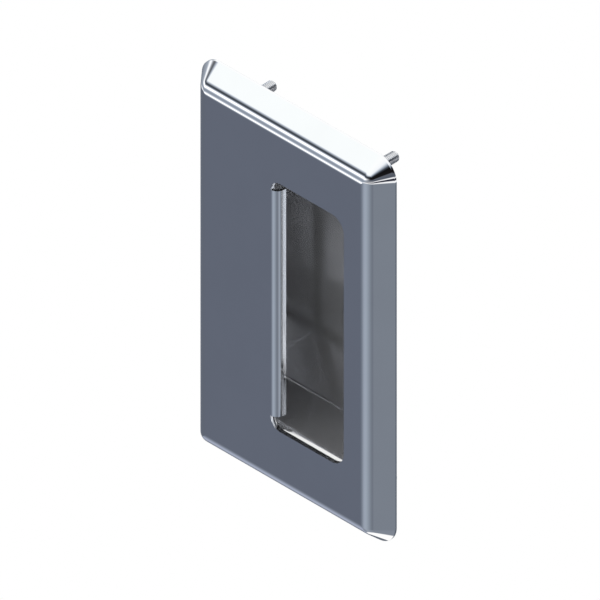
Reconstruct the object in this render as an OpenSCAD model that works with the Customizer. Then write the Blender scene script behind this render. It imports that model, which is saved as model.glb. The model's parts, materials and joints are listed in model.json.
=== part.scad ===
// Recessed pull handle in polished stainless steel.
// A pressed plate with sloping edges stands off the panel by its depth. A tall
// opening with a lip turned inward lets the fingers into a pocket, which runs on
// behind the plate to the left so that they can hook behind it. Four threaded studs
// welded to the back of the plate hold it.
//
// +X is right and +Z is up as the user sees it, and the user stands at -Y. The origin
// is at the centre of the rear rim, which lies flat on the panel.

/* [Plate] */
// Width over the rear rim
plate_w = 90; // [88:1:140]
// Height over the rear rim
plate_h = 155; // [152:1:220]
// Depth from the front face to the rear rim
plate_d = 8.2; // [7.5:0.1:12]
// Thickness of the plate's sheet
plate_t = 1.2; // [0.8:0.1:1.5]
// How far the sloping edges reach out past the flat front
edge_reach = 9.2; // [8.6:0.1:9.6]
// Outside radius of the bend between the front and the sloping edges
bend_r = 6.1; // [4:0.1:6.4]
// Corner radius of the rear rim
rim_corner_r = 8; // [7.5:0.1:8.5]
// Depth of the narrow square land at the rear rim
land_d = 0.9; // [0.5:0.1:1.2]

/* [Opening] */
// Left side of the opening, where the front face starts to turn in
opening_left = -5.7; // [-10:0.1:0]
// Right side of the opening, where the front face starts to turn in
opening_right = 29.5; // [26:0.1:30]
// Height of the opening between the same lines
opening_h = 101; // [80:1:104]
// Radius of the turned lip
lip_r = 3.2; // [2:0.1:4]
// Length of the straight end of the lip
lip_end = 1; // [0.5:0.1:3]
// Corner radius of the clear opening inside the lip, at the left
left_corner_r = 1.3; // [0.3:0.1:6]
// The same at the right
right_corner_r = 4.1; // [0.3:0.1:6]

/* [Pocket] */
// Depth of the pocket from the front face to its back wall
pocket_d = 26.4; // [20:0.1:30]
// Left wall of the pocket, on the inside
pocket_left = -34.4; // [-34.6:0.1:-20]
// Right wall of the pocket, on the inside
pocket_right = 30.6; // [30.2:0.1:34]
// Height of the pocket, on the inside
pocket_h = 105.2; // [104.5:0.1:112]
// Thickness of the pocket's sheet
pocket_t = 1; // [0.8:0.1:1.5]
// Inside radius of the large curve at the right of the back wall
scoop_r = 12; // [4:0.5:18]
// Inside radius of the bend at the left of the back wall
left_bend_r = 3; // [1:0.5:10]
// Inside radius along the floor and the ceiling
floor_bend_r = 0.8; // [0.5:0.1:1]

/* [Studs] */
// Diameter of the stud's thread
stud_d = 4; // [3:1:5]
// Distance between the studs, side to side
stud_pitch_x = 57; // [50:0.5:60]
// Distance between the studs, top to bottom
stud_pitch_z = 128.5; // [125:0.5:131]
// How far the upper studs stand out behind the rim
upper_stud_reach = 16; // [10:0.1:30]
// The same for the lower studs
lower_stud_reach = 15; // [10:0.1:30]
// Diameter of the collar that is welded to the plate
stud_collar_d = 5.5; // [5:0.1:6.5]
// Height of that collar
stud_collar_h = 0.8; // [0.5:0.1:1.4]

/* [Hidden] */

polished_steel = [0.62, 0.65, 0.70];
satin_steel = [0.50, 0.53, 0.57];
stud_steel = [0.74, 0.76, 0.79];
round_fn = 96;

// A cut runs this far past what it cuts
past = 1;

front_y = -plate_d;
plate_back_y = front_y + plate_t;
flat_w = plate_w - 2 * edge_reach;
flat_h = plate_h - 2 * edge_reach;

// Turn of the bend from the front face to the slope, such that the bend and the slope
// end exactly at the land. It follows from the depth down to the land.
sloping_d = plate_d - land_d;
bend_turn = 2 * atan(
    sloping_d / (edge_reach + sqrt(pow(edge_reach, 2) - sloping_d * (2 * bend_r - sloping_d)))
);

opening_w = opening_right - opening_left;
opening_x = (opening_left + opening_right) / 2;
clear_w = opening_w - 2 * lip_r;
clear_h = opening_h - 2 * lip_r;
// The axes of the rim's corners lie this far out from the corners of the flat front
corner_out = edge_reach - rim_corner_r;

pocket_floor_z = -pocket_h / 2;
pocket_back_y = front_y + pocket_d;
// The walls stand between the bends of the floor and the ceiling
pocket_wall_h = pocket_h - 2 * floor_bend_r;

// Runs a section of the edge round the flat front. In the section x runs outward from
// the flat, and y runs back. The corners turn about the axes of the rim's corners. Next
// to the flat, inside those axes, the sides meet in a mitre.
module sweep_edge() {
    for (side = [0 : 3]) {
        across = side % 2 == 0 ? flat_w : flat_h;
        along = side % 2 == 0 ? flat_h : flat_w;
        flat_end = along / 2;
        axis_end = flat_end + corner_out;
        reach = edge_reach + past;
        rotate([0, 90 * side, 0]) {
            intersection() {
                translate([across / 2, 0, -axis_end])
                    linear_extrude(2 * axis_end)
                        children();
                translate([across / 2, plate_d + 2 * past, 0])
                    rotate([90, 0, 0])
                        linear_extrude(plate_d + 3 * past)
                            polygon([
                                [0, -flat_end],
                                [corner_out, -axis_end],
                                [reach, -axis_end],
                                [reach, axis_end],
                                [corner_out, axis_end],
                                [0, flat_end],
                            ]);
            }
            translate([across / 2 + corner_out, 0, -axis_end])
                rotate([-90, 0, 0])
                    rotate_extrude(angle = 90, $fn = round_fn)
                        intersection() {
                            translate([-corner_out, 0])
                                children();
                            square([rim_corner_r, plate_d + past]);
                        }
        }
    }
}

// Runs a section of the lip round the clear opening. In the section x runs outward from
// the edge of the clear opening, and y runs back.
module sweep_lip() {
    corner_r = [right_corner_r, left_corner_r, left_corner_r, right_corner_r];
    for (side = [0 : 3]) {
        across = side % 2 == 0 ? clear_w : clear_h;
        along = side % 2 == 0 ? clear_h : clear_w;
        near_r = corner_r[side];
        far_r = corner_r[(side + 3) % 4];
        rotate([0, 90 * side, 0])
            translate([across / 2, 0, near_r - along / 2]) {
                linear_extrude(along - near_r - far_r)
                    children();
                translate([-near_r, 0, 0])
                    rotate([-90, 0, 0])
                        rotate_extrude(angle = 90, $fn = round_fn)
                            translate([near_r, 0])
                                children();
            }
    }
}

// Everything under the plate's edge, from the flat front outward, or the same drawn in
// by the sheet's thickness and run on past the rim
module edge_form(inset, run_on) {
    r = bend_r - inset;
    knee = [r * sin(bend_turn), bend_r - r * cos(bend_turn)];
    low = plate_d + run_on;
    slope_end = inset == 0
        ? [edge_reach, sloping_d]
        : [knee[0] + (low - knee[1]) / tan(bend_turn), low];
    intersection() {
        translate([0, bend_r])
            circle(r, $fn = round_fn);
        translate([-run_on, 0])
            square([bend_r + run_on, bend_r]);
    }
    polygon([
        [-run_on, bend_r],
        [0, bend_r],
        knee,
        slope_end,
        [slope_end[0], low],
        [-run_on, low],
    ]);
}

// Section of the plate's edge: the bend, the slope and the land
module edge_section() {
    difference() {
        edge_form(0, 0);
        edge_form(plate_t, past);
    }
}

// Quarter of a bend in sheet of thickness t, with r the outside radius. It starts at
// the origin, level with the x axis, and turns up to stand along the y axis.
module quarter_bend(r, t) {
    translate([0, r])
        intersection() {
            difference() {
                circle(r, $fn = round_fn);
                circle(r - t, $fn = round_fn);
            }
            translate([0, -r - past])
                square(r + past);
        }
}

// Section of the turned lip. The lip turns toward the middle of the opening, so its
// section starts at the edge of the clear opening.
module lip_section() {
    translate([lip_r, 0])
        mirror([1, 0])
            quarter_bend(lip_r, plate_t);
    translate([0, lip_r])
        square([plate_t, lip_end]);
}

// Outline of the opening where the front face starts to turn in. Its left corners are
// tighter than its right ones.
module opening_outline() {
    left_r = left_corner_r + lip_r;
    right_r = right_corner_r + lip_r;
    translate([opening_left + left_r, -opening_h / 2])
        square([opening_w - left_r - right_r, opening_h]);
    translate([opening_left, left_r - opening_h / 2])
        square([left_r, opening_h - 2 * left_r]);
    translate([opening_right - right_r, right_r - opening_h / 2])
        square([right_r, opening_h - 2 * right_r]);
    for (sz = [-1, 1]) {
        translate([opening_left + left_r, sz * (opening_h / 2 - left_r)])
            circle(left_r, $fn = round_fn);
        translate([opening_right - right_r, sz * (opening_h / 2 - right_r)])
            circle(right_r, $fn = round_fn);
    }
}

// Plate: one pressed sheet with sloping edges and a lip round its opening
module front_plate() {
    color(polished_steel)
        translate([0, front_y, 0]) {
            translate([0, plate_t, 0])
                rotate([90, 0, 0])
                    linear_extrude(plate_t)
                        difference() {
                            square([flat_w, flat_h], center = true);
                            opening_outline();
                        }
            sweep_edge()
                edge_section();
            translate([opening_x, 0, 0])
                sweep_lip()
                    lip_section();
        }
}

// Outline of the pocket seen from above, drawn out by grow from its inside, with its
// open side at front
module pocket_outline(grow, front = plate_back_y) {
    left = pocket_left - grow;
    right = pocket_right + grow;
    back = pocket_back_y + grow;
    left_r = left_bend_r + grow;
    right_r = scoop_r + grow;
    intersection() {
        union() {
            translate([left + left_r, front])
                square([right - left - left_r - right_r, back - front]);
            translate([left, front])
                square([left_r, back - left_r - front]);
            translate([right - right_r, front])
                square([right_r, back - right_r - front]);
            translate([left + left_r, back - left_r])
                circle(left_r, $fn = round_fn);
            translate([right - right_r, back - right_r])
                circle(right_r, $fn = round_fn);
        }
        translate([left - past, front])
            square([right - left + 2 * past, back - front + past]);
    }
}

// Bend that joins the floor to the walls, swept along the left wall, the back and the
// right wall. Its section starts at the floor.
module floor_bend() {
    outer_r = floor_bend_r + pocket_t;
    module section(inset) {
        translate([inset - floor_bend_r, 0])
            quarter_bend(outer_r, pocket_t);
    }
    left_axis = [pocket_left + left_bend_r, pocket_back_y - left_bend_r];
    right_axis = [pocket_right - scoop_r, pocket_back_y - scoop_r];
    translate([pocket_left, plate_back_y, 0])
        rotate([90, 0, 180])
            linear_extrude(left_axis[1] - plate_back_y)
                section(0);
    translate([left_axis[0], left_axis[1], 0])
        rotate(90)
            rotate_extrude(angle = 90, $fn = round_fn)
                section(left_bend_r);
    translate([left_axis[0], pocket_back_y, 0])
        rotate([90, 0, 90])
            linear_extrude(right_axis[0] - left_axis[0])
                section(0);
    translate([right_axis[0], right_axis[1], 0])
        rotate_extrude(angle = 90, $fn = round_fn)
            section(scoop_r);
    translate([pocket_right, right_axis[1], 0])
        rotate([90, 0, 0])
            linear_extrude(right_axis[1] - plate_back_y)
                section(0);
}

// Pan: the pocket's own sheet, with its edge standing on the back of the plate
module rear_pan() {
    color(satin_steel) {
        translate([0, 0, -pocket_wall_h / 2])
            linear_extrude(pocket_wall_h)
                difference() {
                    pocket_outline(pocket_t);
                    pocket_outline(0, plate_back_y - past);
                }
        for (end = [0, 1])
            mirror([0, 0, end])
                translate([0, 0, pocket_floor_z - pocket_t]) {
                    floor_bend();
                    linear_extrude(pocket_t)
                        pocket_outline(-floor_bend_r);
                }
    }
}

// Stud: a threaded rod with a chamfered end and a collar where it is welded on
module stud(x, z, reach) {
    stud_len = reach - plate_back_y;
    chamfer = stud_d / 8;
    color(stud_steel)
        translate([x, plate_back_y, z])
            rotate([-90, 0, 0]) {
                cylinder(d = stud_collar_d, h = stud_collar_h, $fn = round_fn);
                cylinder(d = stud_d, h = stud_len - chamfer, $fn = round_fn);
                translate([0, 0, stud_len - chamfer])
                    cylinder(
                        d1 = stud_d,
                        d2 = stud_d - 2 * chamfer,
                        h = chamfer,
                        $fn = round_fn
                    );
            }
}

module stud_top_left() {
    stud(-stud_pitch_x / 2, stud_pitch_z / 2, upper_stud_reach);
}

module stud_top_right() {
    stud(stud_pitch_x / 2, stud_pitch_z / 2, upper_stud_reach);
}

module stud_bottom_left() {
    stud(-stud_pitch_x / 2, -stud_pitch_z / 2, lower_stud_reach);
}

module stud_bottom_right() {
    stud(stud_pitch_x / 2, -stud_pitch_z / 2, lower_stud_reach);
}

front_plate();
rear_pan();
stud_top_left();
stud_top_right();
stud_bottom_left();
stud_bottom_right();
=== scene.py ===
# %% [markdown]
# A recessed pull handle in polished stainless steel. It is a pressed plate with sloping
# edges, and behind its tall opening lies a pocket for the fingers. Four threaded studs
# hold it to a door. The plate is one pressed sheet, so its bent edge and its cut opening
# are sections that are swept round an outline. The pan of the pocket is another sheet,
# made from its outline seen from above. The studs get a real thread.
#
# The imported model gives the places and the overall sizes. Everything here is in metres,
# and a size that is written in millimetres is multiplied by MM.

# %% The frame
import json
import math

import bpy
from mathutils import Matrix, Vector


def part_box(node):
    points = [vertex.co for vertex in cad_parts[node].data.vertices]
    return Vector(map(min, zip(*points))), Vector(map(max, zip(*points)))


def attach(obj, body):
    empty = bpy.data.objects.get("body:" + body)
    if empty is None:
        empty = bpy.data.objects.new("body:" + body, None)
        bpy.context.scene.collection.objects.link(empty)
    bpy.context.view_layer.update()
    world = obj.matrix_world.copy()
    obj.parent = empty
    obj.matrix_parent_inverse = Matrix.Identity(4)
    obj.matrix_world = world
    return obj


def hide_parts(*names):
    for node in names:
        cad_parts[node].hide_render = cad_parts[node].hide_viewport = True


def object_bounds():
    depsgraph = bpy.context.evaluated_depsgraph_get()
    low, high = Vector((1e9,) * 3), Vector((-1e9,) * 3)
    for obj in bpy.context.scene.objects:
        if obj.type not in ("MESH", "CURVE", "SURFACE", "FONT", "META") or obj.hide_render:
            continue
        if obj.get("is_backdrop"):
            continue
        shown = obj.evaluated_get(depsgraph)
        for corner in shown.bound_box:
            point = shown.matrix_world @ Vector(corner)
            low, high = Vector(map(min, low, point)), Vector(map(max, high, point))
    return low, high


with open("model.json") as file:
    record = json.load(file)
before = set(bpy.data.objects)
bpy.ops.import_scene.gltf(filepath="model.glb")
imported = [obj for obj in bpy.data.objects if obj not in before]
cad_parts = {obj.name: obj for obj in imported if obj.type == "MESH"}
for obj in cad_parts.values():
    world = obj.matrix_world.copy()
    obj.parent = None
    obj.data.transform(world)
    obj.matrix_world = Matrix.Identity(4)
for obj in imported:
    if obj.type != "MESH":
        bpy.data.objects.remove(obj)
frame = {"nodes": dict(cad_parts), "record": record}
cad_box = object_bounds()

MM = 0.001
ROOT = "root"
print("nodes:", sorted(frame["nodes"]))

# %% [markdown]
# The plate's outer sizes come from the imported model. The sizes of its section can't be
# read from a box, so they are written here as they are on a drawing: the bend, the lip,
# the thickness of the sheet. A mirror finish shows every facet of a mesh, and a packed
# model has facets. That is why the sheets are made again here, finer, on the same sizes.

# %% Sizes of the plate
plate_low, plate_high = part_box("front_plate")
front_y = plate_low.y
plate_d = plate_high.y - plate_low.y
half_w = plate_high.x
half_h = plate_high.z

plate_t = 1.2 * MM
edge_reach = 9.2 * MM
bend_r = 6.1 * MM
rim_corner_r = 8 * MM
land_d = 0.9 * MM
opening_left = -5.7 * MM
opening_right = 28.4 * MM
opening_h = 100 * MM
lip_r = 3.2 * MM
lip_end = 1 * MM
left_corner_r = 4.5 * MM
right_corner_r = 5.8 * MM
cut_d = 1.7 * MM
cut_burr = 0.5 * MM
broken_edge_r = 0.15 * MM

sloping_d = plate_d - land_d
straight_slope = math.sqrt(edge_reach**2 - sloping_d * (2 * bend_r - sloping_d))
bend_turn = 2 * math.atan(sloping_d / (edge_reach + straight_slope))
print(f"plate {2000 * half_w:.1f} x {2000 * half_h:.1f} x {1000 * plate_d:.1f} mm")
print(f"the edge slopes back after a bend of {math.degrees(bend_turn):.1f} degrees")

# %% [markdown]
# A section of bent sheet is a line with rounded corners. Blender's Bevel modifier could
# round them, but its shading normals are averaged from faces, and on polished metal that
# shows as a smear beside each bend. Here each corner is an arc worked out exactly, and
# every point keeps the true normal of the metal on both sides of it.

# %% Sections with rounded corners
ARC_STEP = math.radians(2.5)
TOUCHING = 1e-3 * MM


def unit(x, y):
    length = math.hypot(x, y)
    return x / length, y / length


def rounded_section(corners):
    """Points of a line with rounded corners, as runs of (x, y, normal x, normal y).

    corners are (x, y, radius). The metal is on the left of the line, and its normal
    points to the right.
    """
    runs = []
    end = corners[0][:2]
    for before, corner, after in zip(corners, corners[1:], corners[2:]):
        x, y, r = corner
        way_in = unit(x - before[0], y - before[1])
        way_out = unit(after[0] - x, after[1] - y)
        turn = math.atan2(
            way_in[0] * way_out[1] - way_in[1] * way_out[0],
            way_in[0] * way_out[0] + way_in[1] * way_out[1],
        )
        tangent = r * math.tan(abs(turn) / 2)
        start = (x - tangent * way_in[0], y - tangent * way_in[1])
        normal = (way_in[1], -way_in[0])
        if math.dist(end, start) > TOUCHING:
            runs.append([(*end, *normal), (*start, *normal)])
        side = math.copysign(1, turn)
        centre = (start[0] - side * r * normal[0], start[1] - side * r * normal[1])
        steps = max(3, math.ceil(abs(turn) / ARC_STEP))
        arc = []
        for step in range(steps + 1):
            angle = turn * step / steps
            nx = normal[0] * math.cos(angle) - normal[1] * math.sin(angle)
            ny = normal[0] * math.sin(angle) + normal[1] * math.cos(angle)
            arc.append((centre[0] + side * r * nx, centre[1] + side * r * ny, nx, ny))
        runs.append(arc)
        end = arc[-1][:2]
    last = corners[-1][:2]
    if math.dist(end, last) > TOUCHING:
        way = unit(last[0] - end[0], last[1] - end[1])
        runs.append([(*end, way[1], -way[0]), (*last, way[1], -way[0])])
    return runs


# %% [markdown]
# The section is swept round an upright outline: the edge of the plate, or the opening.
# A Curve with a bevel object sweeps too, but it can't keep sharp inner corners and
# round outer ones in one sweep. Here each corner of the outline has an axis, and the
# section turns about it. Where the section comes closer to the axis than its own radius
# allows, the axis gives way, and the two sides meet in a mitre, as in a pressed corner.

# %% Outlines and rings
CORNER_STEPS = 24
MITRE_R = 0.05 * MM


def rectangle_corners(x_low, x_high, z_low, z_high, right_r, left_r):
    """The corners of an outline, counterclockwise from the lower right one."""
    return [
        (1, -1, x_high, z_low, right_r),
        (1, 1, x_high, z_high, right_r),
        (-1, 1, x_low, z_high, left_r),
        (-1, -1, x_low, z_low, left_r),
    ]


def ring(outline, reach):
    """The outline drawn out by reach: for each point its place and its outward way."""
    points = []
    for index, (sx, sz, x, z, r) in enumerate(outline):
        wanted = r + reach
        radius = (wanted + math.sqrt(wanted**2 + 4 * MITRE_R**2)) / 2
        axis_x = x + sx * (reach - radius)
        axis_z = z + sz * (reach - radius)
        for step in range(CORNER_STEPS + 1):
            angle = math.radians(90 * (index - 1 + step / CORNER_STEPS))
            way = (math.cos(angle), math.sin(angle))
            points.append((axis_x + radius * way[0], axis_z + radius * way[1], way))
    return points


# %% [markdown]
# One small class collects the rings of a sheet and joins them with faces. It stores the
# exact normals with the mesh, so that a flat reflects as one flat and a bend as one
# clean curve.

# %% A sheet's mesh
class Sheet:
    """Vertices, faces and exact corner normals of one closed sheet."""

    def __init__(self):
        self.points = []
        self.faces = []
        self.normals = []

    def add_points(self, points):
        first = len(self.points)
        self.points.extend(points)
        return list(range(first, len(self.points)))

    def add_face(self, corners, normals):
        self.faces.append(corners)
        self.normals.extend(normals)

    def join(self, ring_a, ring_b, normals_a, normals_b, closed=True):
        """Faces between two rings of the same count."""
        count = len(ring_a)
        for j in range(count if closed else count - 1):
            k = (j + 1) % count
            self.add_face(
                (ring_a[j], ring_b[j], ring_b[k], ring_a[k]),
                (normals_a[j], normals_b[j], normals_b[k], normals_a[k]),
            )

    def build(self, name):
        mesh = bpy.data.meshes.new(name)
        mesh.from_pydata(self.points, [], self.faces)
        mesh.polygons.foreach_set("use_smooth", [True] * len(mesh.polygons))
        if self.normals:
            mesh.normals_split_custom_set(self.normals)
        piece = bpy.data.objects.new(name, mesh)
        bpy.context.scene.collection.objects.link(piece)
        print(f"{name}: {len(mesh.polygons)} faces")
        return piece


def solid_way(way, nx, ny):
    """A section's normal, turned to where that section stands on the outline."""
    return (nx * way[0], ny, nx * way[1])


def sweep(sheet, outline, runs):
    """Sweeps the runs of a section round an outline, and returns its end rings."""
    here = None
    start = None
    for run in runs:
        before = None
        for x, y, nx, ny in run:
            points = ring(outline, x)
            normals = [solid_way(way, nx, ny) for _, _, way in points]
            if before is None and here is not None:
                current = here
            else:
                current = sheet.add_points([(px, front_y + y, pz) for px, pz, _ in points])
            if before is not None:
                sheet.join(before[0], current, before[1], normals)
            before = (current, normals)
            here = current
            if start is None:
                start = current
    return start, here


# %% [markdown]
# The plate is one sheet, pressed and then polished to a mirror. Its edge has a bend, a
# slope and a land. The opening is cut sharp through the sheet at the top, the right and
# the bottom. Only at the left, where the fingers pull, is the sheet turned inward to a
# round lip, which ends where the corners of the cut begin. The punch that makes the cut
# draws its edge back a little. So the edge and the cut are swept, and the lip is a
# straight length of its own section.

# %% The plate's sections
half_flat_w = half_w - edge_reach
half_flat_h = half_h - edge_reach
lip_depth = lip_r + lip_end
slope = math.tan(bend_turn)
front_knee = edge_reach - sloping_d / slope
inner_knee = front_knee + plate_t / slope - plate_t / math.sin(bend_turn)
inner_rim = inner_knee + (plate_d - plate_t) / slope

cut_section = rounded_section([
    (2 * cut_burr, plate_t, 0),
    (cut_burr, cut_d, broken_edge_r),
    (0, cut_d, 0),
    (0, 0, 0),
])
lip_section = rounded_section([
    (lip_r, plate_t, 0),
    (plate_t, plate_t, lip_r - plate_t),
    (plate_t, lip_depth, broken_edge_r),
    (0, lip_depth, broken_edge_r),
    (0, 0, lip_r),
    (lip_r, 0, 0),
])
edge_section = rounded_section([
    (0, 0, 0),
    (front_knee, 0, bend_r),
    (edge_reach, sloping_d, broken_edge_r),
    (edge_reach, plate_d, broken_edge_r),
    (inner_rim, plate_d, broken_edge_r),
    (inner_knee, plate_t, bend_r - plate_t),
    (0, plate_t, 0),
])
print(f"lip section {sum(map(len, lip_section))} points,", end=" ")
print(f"edge section {sum(map(len, edge_section))} points")

# %% [markdown]
# The lip is a straight length with two flat ends. The cut and the edge are swept round
# their own rectangles, and the flat of the plate joins them, front and back.

# %% The plate
def straight(sheet, runs, axis_x, z_high, z_low):
    """An upright length of a section. The section's x runs to the left from axis_x."""
    ends = ([], [])
    for run in runs:
        before = None
        for x, y, nx, ny in run:
            points = [(axis_x - x, front_y + y, z) for z in (z_high, z_low)]
            current = (sheet.add_points(points), [(-nx, ny, 0)] * 2)
            if before is not None:
                sheet.join(before[0], current[0], before[1], current[1], closed=False)
            before = current
            for end, point in zip(ends, current[0]):
                end.append(point)
    sheet.add_face(tuple(reversed(ends[0])), [(0, 0, 1)] * len(ends[0]))
    sheet.add_face(tuple(ends[1]), [(0, 0, -1)] * len(ends[1]))


half_opening = opening_h / 2
opening_outline = rectangle_corners(
    opening_left,
    opening_right,
    -half_opening,
    half_opening,
    right_corner_r,
    left_corner_r,
)
corner_out = edge_reach - rim_corner_r
flat_outline = rectangle_corners(
    -half_flat_w, half_flat_w, -half_flat_h, half_flat_h, -corner_out, -corner_out
)
plate_sheet = Sheet()
cut_back, cut_front = sweep(plate_sheet, opening_outline, cut_section)
edge_front, edge_back = sweep(plate_sheet, flat_outline, edge_section)
ring_count = len(cut_front)
forward = [(0, -1, 0)] * ring_count
backward = [(0, 1, 0)] * ring_count
plate_sheet.join(cut_front, edge_front, forward, forward)
plate_sheet.join(edge_back, cut_back, backward, backward)
lip_end_z = half_opening - left_corner_r
straight(plate_sheet, lip_section, opening_left + lip_r, lip_end_z, -lip_end_z)
plate = plate_sheet.build("front_plate_skin")
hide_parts("front_plate")
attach(plate, ROOT)

# %% [markdown]
# The pan is the pocket's own sheet, bent to a U that is closed by a floor and a ceiling.
# Its back wall curves forward at the right in one large bend, so that fingers slide in
# to the left. Its floor and its ceiling come closer together towards the plate. It could
# be a box with bevels, but only its long bends are alike, so it is made from its outline
# seen from above, drawn in along the floor and the ceiling.

# %% Sizes of the pan
pan_low, pan_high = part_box("rear_pan")
pan_t = 1 * MM
scoop_r = 12 * MM
left_bend_r = 3 * MM
floor_bend_r = 0.8 * MM
pan_left = pan_low.x + pan_t
pan_right = pan_high.x - pan_t
pan_back = pan_high.y - pan_t
pan_half_h = pan_high.z - pan_t
SCOOP_STEPS = 30
BEND_STEPS = 12
FLOOR_STEPS = 6

mouth_r = 3.8 * MM
mouth_lap = 0.6 * MM
mouth_y = front_y + cut_d + mouth_r
flare = (pan_half_h - half_opening) / (pan_back - mouth_y)
print(f"pocket {1000 * (pan_right - pan_left):.1f} mm wide,", end=" ")
print(f"{1000 * (pan_back - front_y):.1f} mm deep from the front face")

# %% [markdown]
# Both sides of the sheet are made alike, ring above ring, from the bend of the floor to
# the bend of the ceiling. Strips close the sheet's thickness where it meets the mouth.

# %% The pan
def pan_outline(grow):
    """The outline from the left front to the right front: (x, y, outward way)."""
    left_r = left_bend_r + grow
    right_r = scoop_r + grow
    left_axis = (pan_left + left_bend_r, pan_back - left_bend_r)
    right_axis = (pan_right - scoop_r, pan_back - scoop_r)
    points = [(left_axis[0] - left_r, mouth_y, (-1, 0))]
    for (axis_x, axis_y), r, start, steps in (
        (left_axis, left_r, 180, BEND_STEPS),
        (right_axis, right_r, 90, SCOOP_STEPS),
    ):
        for step in range(steps + 1):
            angle = math.radians(start - 90 * step / steps)
            way = (math.cos(angle), math.sin(angle))
            points.append((axis_x + r * way[0], axis_y + r * way[1], way))
    points.append((right_axis[0] + right_r, mouth_y, (1, 0)))
    return points


def pan_profile(thickness):
    """The wall from the floor's bend to the ceiling's: (grow, z, outward, upward)."""
    axis = pan_half_h - floor_bend_r
    r = floor_bend_r + thickness
    bend = []
    for step in range(FLOOR_STEPS + 1):
        angle = math.radians(90 * step / FLOOR_STEPS)
        out, down = math.sin(angle), math.cos(angle)
        bend.append((r * out - floor_bend_r, -axis - r * down, out, -down))
    return bend + [(grow, -z, out, -up) for grow, z, out, up in reversed(bend)]


def height_at(y):
    """The share of the pan's full height that it has at y."""
    return 1 - flare * (pan_back - y) / pan_half_h


def pan_side(sheet, thickness):
    """One side of the sheet. The inside's normals point into the pocket."""
    facing = 1 if thickness else -1
    rings = []
    for grow, z, out, up in pan_profile(thickness):
        outline = pan_outline(grow)
        points = sheet.add_points([(x, y, z * height_at(y)) for x, y, _ in outline])
        normals = [
            (facing * out * way[0], facing * out * way[1], facing * up)
            for _, _, way in outline
        ]
        rings.append((points, normals))
    for (lower, n_lower), (upper, n_upper) in zip(rings, rings[1:]):
        if thickness:
            sheet.join(lower, upper, n_lower, n_upper, closed=False)
        else:
            sheet.join(upper, lower, n_upper, n_lower, closed=False)
    floor = tuple(rings[0][0][::facing])
    ceiling = tuple(rings[-1][0][::-facing])
    sheet.add_face(floor, [(0, -facing * flare, -facing)] * len(floor))
    sheet.add_face(ceiling, [(0, -facing * flare, facing)] * len(ceiling))
    return [points for points, _ in rings]


pan_sheet = Sheet()
inner_rings = pan_side(pan_sheet, 0)
outer_rings = pan_side(pan_sheet, pan_t)
front_way = [(0, -1, 0)] * 4
for (inner_a, outer_a), (inner_b, outer_b) in zip(
    zip(inner_rings, outer_rings), zip(inner_rings[1:], outer_rings[1:])
):
    pan_sheet.add_face((inner_a[0], inner_b[0], outer_b[0], outer_a[0]), front_way)
    pan_sheet.add_face((outer_a[-1], outer_b[-1], inner_b[-1], inner_a[-1]), front_way)
for inner, outer in ((inner_rings[0], outer_rings[0]), (outer_rings[-1], inner_rings[-1])):
    pan_sheet.add_face((inner[0], outer[0], outer[-1], inner[-1]), front_way)
pan = pan_sheet.build("rear_pan_skin")
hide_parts("rear_pan")
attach(pan, ROOT)

# %% [markdown]
# At its mouth the pan's sheet bends outward and lies against the back of the plate, where
# it is welded. Along the bottom that bend shows as a bright line behind the plate's cut
# edge. It is one more sweep round a rectangle, and it meets the pan's walls end to end.

# %% The pan's mouth
mouth_outline = rectangle_corners(
    pan_left, pan_right, -half_opening, half_opening, floor_bend_r, floor_bend_r
)
mouth_reach = mouth_r + mouth_lap
mouth_section = rounded_section([
    (0, cut_d + mouth_r, 0),
    (0, cut_d, mouth_r),
    (mouth_reach, plate_t, 0),
    (mouth_reach, plate_t + pan_t, 0),
    (pan_t, cut_d + pan_t, mouth_r - pan_t),
    (pan_t, cut_d + mouth_r, 0),
])
mouth_sheet = Sheet()
sweep(mouth_sheet, mouth_outline, mouth_section)
mouth = mouth_sheet.build("pan_mouth")
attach(mouth, ROOT)

# %% [markdown]
# Each stud is a steel rod with a rolled metric thread. A plain cylinder with a striped
# bump would do from far off, but the teeth show in the outline. So each ring of points
# takes its radius from the place of that point in the turning tooth, which makes a real
# helix. The end is chamfered, which cuts the first turns away, the thread runs out above
# the foot, and the collar is what was left there by the weld.

# %% Sizes of the studs
stud_mount = next(m for m in frame["record"]["mounts"] if m["name"] == "studs")
stud_r = stud_mount["dims"]["stud_r_mm"] * MM
pitch = 0.7 * MM
tooth_depth = 0.6134 * pitch
crest_share = 1 / 8
root_share = 1 / 5
tip_chamfer = stud_r / 4
collar_h = 0.8 * MM
collar_edge = 0.2 * MM
THREAD_SIDES = 40
ROWS_PER_PITCH = 14
SHARP_ANGLE = math.radians(35)
STUDS = ["stud_top_left", "stud_top_right", "stud_bottom_left", "stud_bottom_right"]
print(f"thread M{2000 * stud_r:.0f}, {1000 * pitch:.1f} mm pitch")

# %% [markdown]
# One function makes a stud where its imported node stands, and as long as that is.

# %% One stud
def tooth(phase):
    """How deep the thread is cut at a place from 0 to 1 along one pitch."""
    away = abs((phase % 1) - 0.5) * 2
    flank = (away - crest_share) / (1 - root_share - crest_share)
    return tooth_depth * min(1, max(0, flank))


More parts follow.
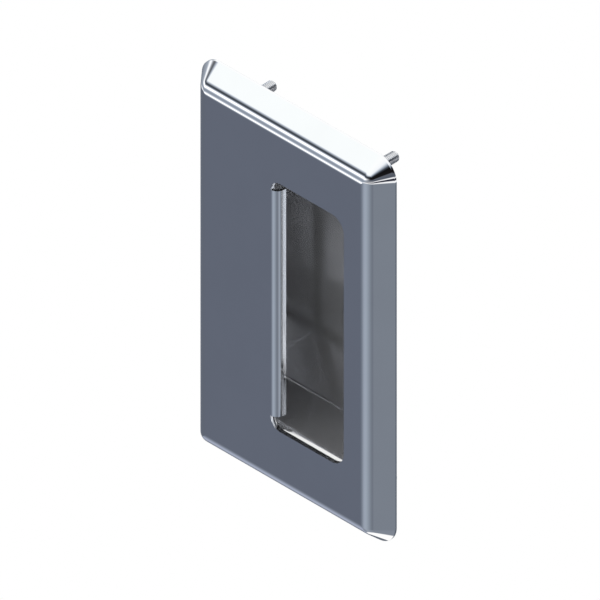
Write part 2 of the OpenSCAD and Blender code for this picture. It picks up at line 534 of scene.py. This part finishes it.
def stud(node):
    """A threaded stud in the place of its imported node."""
    low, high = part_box(node)
    x, z = (low.x + high.x) / 2, (low.z + high.z) / 2
    collar_r = (high.x - low.x) / 2
    collar_y = low.y + collar_h
    sheet = Sheet()

    def turned(y, radius_at):
        points = []
        for side in range(THREAD_SIDES):
            turn = side / THREAD_SIDES
            angle = 2 * math.pi * turn
            r = radius_at(turn)
            points.append((x + r * math.cos(angle), y, z + r * math.sin(angle)))
        return sheet.add_points(points)

    def threaded(y):
        runout = min(1, (y - collar_y) / pitch)
        cone = stud_r - tip_chamfer + high.y - y
        return lambda turn: min(cone, stud_r - runout * tooth(y / pitch - turn))

    rings = [
        turned(low.y, lambda turn: collar_r),
        turned(collar_y - collar_edge, lambda turn: collar_r),
        turned(collar_y, lambda turn: collar_r - collar_edge),
    ]
    rows = math.ceil((high.y - collar_y) / pitch * ROWS_PER_PITCH)
    for row in range(rows + 1):
        y = collar_y + (high.y - collar_y) * row / rows
        rings.append(turned(y, threaded(y)))
    for here, there in zip(rings, rings[1:]):
        for side in range(THREAD_SIDES):
            after = (side + 1) % THREAD_SIDES
            sheet.faces.append((here[side], there[side], there[after], here[after]))
    sheet.faces.append(tuple(rings[0]))
    sheet.faces.append(tuple(reversed(rings[-1])))
    piece = sheet.build(node + "_thread")
    piece.data.set_sharp_from_angle(angle=SHARP_ANGLE)
    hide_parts(node)
    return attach(piece, ROOT)


studs = [stud(node) for node in STUDS]

# %% [markdown]
# Materials are written as sums. A small class wraps a socket, so that an expression such
# as 1 - mask adds the Math nodes that it needs. One method adds any other node: it takes
# the node's type, its settings, and the values or links of its sockets.

# %% A wrapper for shader sockets
class Wire:
    """The output of a node, with the signs of ordinary arithmetic."""

    def __init__(self, graph, socket):
        self.graph = graph
        self.socket = socket

    def math(self, operation, a, b):
        return self.graph.node("ShaderNodeMath", {"operation": operation}, {0: a, 1: b})

    def __add__(self, other):
        return self.math("ADD", self, other)

    def __radd__(self, other):
        return self.math("ADD", other, self)

    def __sub__(self, other):
        return self.math("SUBTRACT", self, other)

    def __rsub__(self, other):
        return self.math("SUBTRACT", other, self)

    def __mul__(self, other):
        return self.math("MULTIPLY", self, other)

    def __rmul__(self, other):
        return self.math("MULTIPLY", other, self)

    def __truediv__(self, other):
        return self.math("DIVIDE", self, other)

    def __rtruediv__(self, other):
        return self.math("DIVIDE", other, self)

    def __pow__(self, other):
        return self.math("POWER", self, other)


class Graph:
    """The nodes of one material or world."""

    def __init__(self, owner):
        owner.use_nodes = True
        self.tree = owner.node_tree
        self.tree.nodes.clear()

    def node(self, kind, settings=None, sockets=None, output=0):
        made = self.tree.nodes.new(kind)
        for name, value in (settings or {}).items():
            if name == "stops":
                self.set_stops(made.color_ramp, value)
            else:
                setattr(made, name, value)
        for key, value in (sockets or {}).items():
            if isinstance(value, Wire):
                self.tree.links.new(value.socket, made.inputs[key])
            else:
                made.inputs[key].default_value = value
        return Wire(self, made.outputs[output]) if made.outputs else made

    def set_stops(self, ramp, stops):
        while len(ramp.elements) < len(stops):
            ramp.elements.new(1)
        for element, (place, colour) in zip(ramp.elements, stops):
            element.position = place
            element.color = colour

    def place(self):
        """The point on the object, in metres."""
        return self.node("ShaderNodeTexCoord", output="Object")

    def part(self, vector, axis):
        return self.node("ShaderNodeSeparateXYZ", None, {0: vector}, output=axis)

    def noise(self, vector, scale, detail=2, roughness=0.5):
        sockets = {"Vector": vector, "Scale": scale, "Detail": detail, "Roughness": roughness}
        return self.node("ShaderNodeTexNoise", None, sockets, output="Fac")

    def stretch(self, vector, scale):
        return self.node("ShaderNodeMapping", None, {"Vector": vector, "Scale": scale})

    def bump(self, height):
        """Bends the normals as a relief of this height in metres would."""
        sockets = {"Height": height, "Distance": 1, "Strength": 1}
        return self.node("ShaderNodeBump", None, sockets)

    def mix(self, share, colour_a, colour_b):
        sockets = {"Factor": share, "A": colour_a, "B": colour_b}
        return self.node("ShaderNodeMix", {"data_type": "RGBA"}, sockets, output="Result")


# %% [markdown]
# The plate is stainless steel, buffed until it mirrors. A real mirror finish isn't
# perfect: the buffing leaves hairlines that can only be felt in the reflections, and the
# sheet keeps a faint waviness from the press. Both are bump, far finer than a mesh could
# hold. The roughness changes a little from place to place, as handling leaves it.

# %% Polished plate
SHADE_RANGE = (0.97, 1.03)
CLOUD_SCALE = 60
WAVE_SCALE = 45
CLOUD_SHARE = 0.6
HAIR_SHARE = 0.4
PLATE_COLOUR = (0.62, 0.63, 0.65)


def steel(name, colour, metallic, roughness, hair_stretch, hair_depth, wave_depth):
    """A steel whose hairlines run along the axis with the smallest hair_stretch."""
    colours = [[*(share * value for value in colour), 1] for share in SHADE_RANGE]
    material = bpy.data.materials.new(name)
    graph = Graph(material)
    place = graph.place()
    clouds = graph.noise(place, CLOUD_SCALE, detail=3)
    hairs = graph.noise(graph.stretch(place, hair_stretch), 1, detail=4, roughness=0.65)
    waves = graph.noise(place, WAVE_SCALE, detail=1)
    base = graph.mix(clouds, *colours)
    low, high = roughness
    gloss = low + (high - low) * (clouds * CLOUD_SHARE + hairs * HAIR_SHARE)
    height = hairs * hair_depth + waves * wave_depth
    sockets = {
        "Base Color": base,
        "Metallic": metallic,
        "Roughness": gloss,
        "Normal": graph.bump(height),
    }
    shader = graph.node("ShaderNodeBsdfPrincipled", None, sockets)
    graph.node("ShaderNodeOutputMaterial", None, {"Surface": shader})
    return material


polished_plate = steel(
    "polished_plate",
    PLATE_COLOUR,
    metallic=1,
    roughness=(0.005, 0.015),
    hair_stretch=(9000, 9000, 250),
    hair_depth=0.0002 * MM,
    wave_depth=0.0006 * MM,
)
plate.data.materials.append(polished_plate)

# %% [markdown]
# The pan is pressed from the same steel. Its inside is bright, with drawing lines that
# run back into the pocket, and its outside is left as it came from the press. A pressed
# skin isn't a clean mirror, so a part of its light is scattered like that of a dull one.

# %% Satin pan
satin_pan = steel(
    "satin_pan",
    (0.62, 0.62, 0.63),
    metallic=0.8,
    roughness=(0.08, 0.12),
    hair_stretch=(250, 9000, 9000),
    hair_depth=0.00005 * MM,
    wave_depth=0.001 * MM,
)
pan.data.materials.append(satin_pan)
mouth.data.materials.append(satin_pan)

# %% [markdown]
# The studs are bright rolled steel. They are rougher than the plate, since only the
# rolling dies have smoothed them, and their fine marks run in no one direction.

# %% Stud steel
stud_steel = steel(
    "stud_steel",
    (0.66, 0.67, 0.69),
    metallic=1,
    roughness=(0.16, 0.26),
    hair_stretch=(4000, 4000, 4000),
    hair_depth=0.0008 * MM,
    wave_depth=0.001 * MM,
)
for piece in studs:
    piece.data.materials.append(stud_steel)

# %% [markdown]
# The camera looks straight along a cube's diagonal with parallel rays, so width, depth
# and height all show at one scale: an isometric view. The picture's scale was measured
# on the studs, and the picture's middle lies a little above and right of the front's.

# %% Camera
PICTURE_SIDE = 600
PIXELS_PER_MM = 2.48
isometric_scale = math.sqrt(3 / 2)
front_centre = Vector((0, front_y, 0))
PIXELS_RIGHT = 17.26
PIXELS_UP = 9.7
CAMERA_AWAY = 0.8
to_right = Vector((1, 1, 0)).normalized()
to_top = Vector((-1, 1, 2)).normalized()
to_camera = Vector((1, -1, 1)).normalized()
pixel = MM / (PIXELS_PER_MM * isometric_scale)

camera_data = bpy.data.cameras.new("camera")
camera_data.type = "ORTHO"
camera_data.ortho_scale = PICTURE_SIDE * pixel
camera = bpy.data.objects.new("camera", camera_data)
aim = front_centre + pixel * (PIXELS_RIGHT * to_right + PIXELS_UP * to_top)
camera_turn = Matrix((to_right, to_top, to_camera)).transposed().to_4x4()
camera.matrix_world = Matrix.Translation(aim + CAMERA_AWAY * to_camera) @ camera_turn
bpy.context.scene.collection.objects.link(camera)
bpy.context.scene.camera = camera
print(f"the view is {1000 * camera_data.ortho_scale:.1f} mm wide")

# %% [markdown]
# Polished steel has hardly a colour of its own: it shows what stands round it. So the
# studio matters as much as the metal. The handle is meant for a door, so it hangs a metre
# above a plain pale floor. The floor and the world are white for the camera, and they
# light the object at a plain level. The floor is left out of the steel's reflections,
# because the tent of the next steps stands there. A small lamp shines through the opening
# from the left front, and lights the side of the pocket that the camera doesn't see.

# %% Floor, world and lamp
FLOOR_Z = -1.0
FLOOR_HALF_SIDE = 6
FLOOR_GREY = 0.9
LAMP_SIZE = 0.4
LAMP_POWER = 170
LAMP_COLOUR = (0.92, 0.96, 1)
LAMP_PLACE = Vector((-1.0, -1.5, -0.2))


def stage_object(name, mesh):
    piece = bpy.data.objects.new(name, mesh)
    bpy.context.scene.collection.objects.link(piece)
    piece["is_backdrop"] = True
    return piece


def seen_rays(graph):
    """1 for a ray from the camera, a mirror or glass, and 0 for light on a surface."""
    rays = [
        graph.node("ShaderNodeLightPath", output=output)
        for output in ("Is Camera Ray", "Is Glossy Ray", "Is Transmission Ray")
    ]
    return rays[0].math("MAXIMUM", rays[0].math("MAXIMUM", rays[0], rays[1]), rays[2])


floor_mesh = bpy.data.meshes.new("floor")
floor_corners = [
    (sx * FLOOR_HALF_SIDE, sy * FLOOR_HALF_SIDE, FLOOR_Z)
    for sx, sy in ((-1, -1), (1, -1), (1, 1), (-1, 1))
]
floor_mesh.from_pydata(floor_corners, [], [(0, 1, 2, 3)])
floor = stage_object("floor", floor_mesh)
floor.visible_glossy = False
floor_paint = bpy.data.materials.new("floor_paint")
graph = Graph(floor_paint)
matt = graph.node("ShaderNodeBsdfDiffuse", None, {"Color": (*[FLOOR_GREY] * 3, 1)})
white = graph.node("ShaderNodeEmission", None, {"Color": (1, 1, 1, 1), "Strength": 1})
mixed = graph.node("ShaderNodeMixShader", None, {0: seen_rays(graph), 1: matt, 2: white})
graph.node("ShaderNodeOutputMaterial", None, {"Surface": mixed})
floor.data.materials.append(floor_paint)

world = bpy.data.worlds.new("world")
bpy.context.scene.world = world
graph = Graph(world)
background = graph.node("ShaderNodeBackground", None, {"Color": (1, 1, 1, 1), "Strength": 1})
graph.node("ShaderNodeOutputWorld", None, {"Surface": background})

lamp_data = bpy.data.lights.new("soft_lamp", "AREA")
lamp_data.size = LAMP_SIZE
lamp_data.energy = LAMP_POWER
lamp_data.color = LAMP_COLOUR
lamp = bpy.data.objects.new("soft_lamp", lamp_data)
lamp_turn = LAMP_PLACE.to_track_quat("Z", "Y").to_matrix().to_4x4()
lamp.matrix_world = Matrix.Translation(LAMP_PLACE) @ lamp_turn
lamp.visible_glossy = False
bpy.context.scene.collection.objects.link(lamp)
bpy.context.scene.view_settings.view_transform = "Standard"

# %% [markdown]
# The photo's steel doesn't mirror its white background. It mirrors a studio: a slate
# ground, then white, and dark strips at several heights. So a round tent hangs about the
# handle, with those strips on its wall, and is seen in reflections only. Three ramps give
# the wall's shades by height, as seen from the handle: on its left, on its right and at
# its back. Two more give the ground's shades round the compass, close by and farther out.
# Each shade is written as it shows in the steel, and is then divided by the steel's own
# colour. A value above 255 is a light that is brighter than white shows.

# %% Shades of the tent
TENT_R = 8


def lit(red, green, blue):
    """The light that shows in the steel as this colour of the picture."""
    linear = []
    for value in (red, green, blue):
        share = value / 255
        dark = share < 0.04045
        linear.append(share / 12.92 if dark else ((share + 0.055) / 1.055) ** 2.4)
    return [value / share for value, share in zip(linear, PLATE_COLOUR)] + [1]


def by_height(shades):
    """Ramp stops from heights in degrees above the horizon."""
    return [((math.sin(math.radians(h)) + 1) / 2, lit(*shade)) for h, shade in shades]


def by_heading(shades):
    """Ramp stops from headings in degrees, from straight ahead towards the left."""
    return [(h / 360 + 0.5, lit(*shade)) for h, shade in shades]


left_wall = by_height([
    (-31, (112, 120, 134)),
    (-28.5, (145, 152, 163)),
    (-26, (212, 216, 222)),
    (-23.3, (275, 276, 279)),
    (-20.7, (285, 286, 288)),
    (-18, (243, 246, 252)),
    (-13.2, (172, 180, 194)),
    (-10.6, (146, 155, 169)),
    (-5.7, (134, 143, 155)),
    (-0.8, (145, 153, 168)),
    (1.5, (168, 177, 191)),
    (3.9, (214, 220, 231)),
    (6.2, (255, 259, 264)),
    (10.8, (295, 295, 296)),
    (15.3, (250, 253, 259)),
    (17.3, (196, 201, 211)),
    (19.6, (140, 147, 159)),
    (21.6, (88, 95, 106)),
    (25.9, (50, 55, 62)),
    (30, (90, 96, 104)),
    (33.8, (156, 163, 175)),
    (37.6, (210, 217, 227)),
    (40, (249, 253, 254)),
    (60, (255, 255, 255)),
])
right_wall = by_height([
    (-31, (122, 129, 141)),
    (-27, (250, 251, 253)),
    (-23, (250, 251, 253)),
    (-19.5, (40, 42, 60)),
    (-12.5, (30, 32, 50)),
    (-10, (250, 251, 253)),
    (-8, (250, 251, 253)),
    (-4.5, (78, 84, 96)),
    (9, (92, 97, 107)),
    (12, (24, 22, 24)),
    (28, (18, 18, 20)),
    (33, (70, 76, 86)),
    (38, (160, 170, 184)),
    (44, (240, 244, 250)),
    (60, (255, 255, 255)),
])
back_wall = by_height([
    (-31, (103, 110, 121)),
    (0, (160, 168, 180)),
    (20, (252, 253, 254)),
])
near_ground = by_heading([
    (-135, (90, 97, 108)),
    (-52, (127, 134, 146)),
    (0, (150, 158, 171)),
    (45, (118, 125, 138)),
    (57, (124, 131, 145)),
    (67, (146, 154, 172)),
    (82, (163, 170, 190)),
    (102, (136, 143, 160)),
    (123, (90, 97, 108)),
])
ground = by_heading([
    (-135, (103, 110, 121)),
    (-95, (88, 97, 107)),
    (-70, (154, 162, 175)),
    (-52, (119, 126, 137)),
    (-43.4, (109, 115, 127)),
    (-34.2, (117, 125, 136)),
    (-21.8, (134, 143, 156)),
    (-5.8, (151, 161, 174)),
    (4.2, (154, 163, 178)),
    (13.4, (146, 155, 169)),
    (25.6, (117, 125, 139)),
    (33.4, (103, 111, 124)),
    (38, (96, 103, 117)),
    (46, (95, 101, 115)),
    (80, (93, 99, 111)),
    (135, (97, 103, 116)),
])

# %% [markdown]
# The ramps are blended into one another between two headings or two heights, so that no
# hard seam shows in the steel.

# %% The tent
RIGHT_TO_LEFT = (-30, 25)
LEFT_TO_BACK = (60, 100)
BELOW_TO_NEAR = (-74, -68)
NEAR_TO_FAR = (-50, -38)
GROUND_TO_WALL = (-33.5, -31.5)


def tent_mesh(radius, rows=48, columns=96):
    """A closed round tent with the handle at its middle."""
    points = [(0, 0, -radius), (0, 0, radius)]
    for row in range(1, rows):
        height = math.pi * (row / rows - 0.5)
        for column in range(columns):
            turn = 2 * math.pi * column / columns
            across = radius * math.cos(height)
            place = (across * math.cos(turn), across * math.sin(turn), radius * math.sin(height))
            points.append(place)
    faces = []
    for column in range(columns):
        after = (column + 1) % columns
        faces.append((0, 2 + column, 2 + after))
        top = 2 + (rows - 2) * columns
        faces.append((1, top + after, top + column))
        for row in range(rows - 2):
            low = 2 + row * columns
            high = low + columns
            faces.append((low + column, high + column, high + after, low + after))
    mesh = bpy.data.meshes.new("tent")
    mesh.from_pydata(points, [], faces)
    return mesh


tent = stage_object("tent", tent_mesh(TENT_R))
tent.visible_camera = False
tent.visible_diffuse = False
tent.visible_transmission = False
tent.visible_shadow = False
tent_cloth = bpy.data.materials.new("tent_cloth")
graph = Graph(tent_cloth)
way = graph.node("ShaderNodeVectorMath", {"operation": "NORMALIZE"}, {0: graph.place()})
x, y, z = (graph.part(way, axis) for axis in ("X", "Y", "Z"))
heading = x.math("ARCTAN2", 0 - x, 0 - y) / (2 * math.pi) + 0.5


def ramp(place, stops):
    return graph.node("ShaderNodeValToRGB", {"stops": stops}, {0: place})


def step_between(value, low, high):
    """0 below low, 1 above high, smooth between."""
    settings = {"interpolation_type": "SMOOTHSTEP"}
    sockets = {"Value": value, "From Min": low, "From Max": high}
    return graph.node("ShaderNodeMapRange", settings, sockets)


def past_heading(low, high):
    """0 to the right of one heading, and 1 to the left of the other."""
    return step_between(heading, 0.5 + low / 360, 0.5 + high / 360)


def past_height(low, high):
    """0 below one height, and 1 above the other."""
    return step_between(z, math.sin(math.radians(low)), math.sin(math.radians(high)))


height_share = (z + 1) / 2
sides = graph.mix(
    past_heading(*RIGHT_TO_LEFT), ramp(height_share, right_wall), ramp(height_share, left_wall)
)
wall = graph.mix(past_heading(*LEFT_TO_BACK), sides, ramp(height_share, back_wall))
near_and_far = graph.mix(
    past_height(*NEAR_TO_FAR), ramp(heading, near_ground), ramp(heading, ground)
)
below = graph.mix(past_height(*BELOW_TO_NEAR), lit(255, 255, 255), near_and_far)
shade = graph.mix(past_height(*GROUND_TO_WALL), below, wall)
glow = graph.node("ShaderNodeEmission", None, {"Color": shade, "Strength": 1})
graph.node("ShaderNodeOutputMaterial", None, {"Surface": glow})
tent.data.materials.append(tent_cloth)

# %% [markdown]
# At the end the sizes of the two boxes are printed side by side: what Blender shows, and
# the imported model. What Blender shows has to keep to the imported size.

# %% Sizes and the end
visual_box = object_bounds()
sizes = {
    "cad": [list(corner) for corner in cad_box],
    "visual": [list(corner) for corner in visual_box],
}
for name, (low, high) in sizes.items():
    print(name, [round(1000 * (b - a), 2) for a, b in zip(low, high)], "mm")
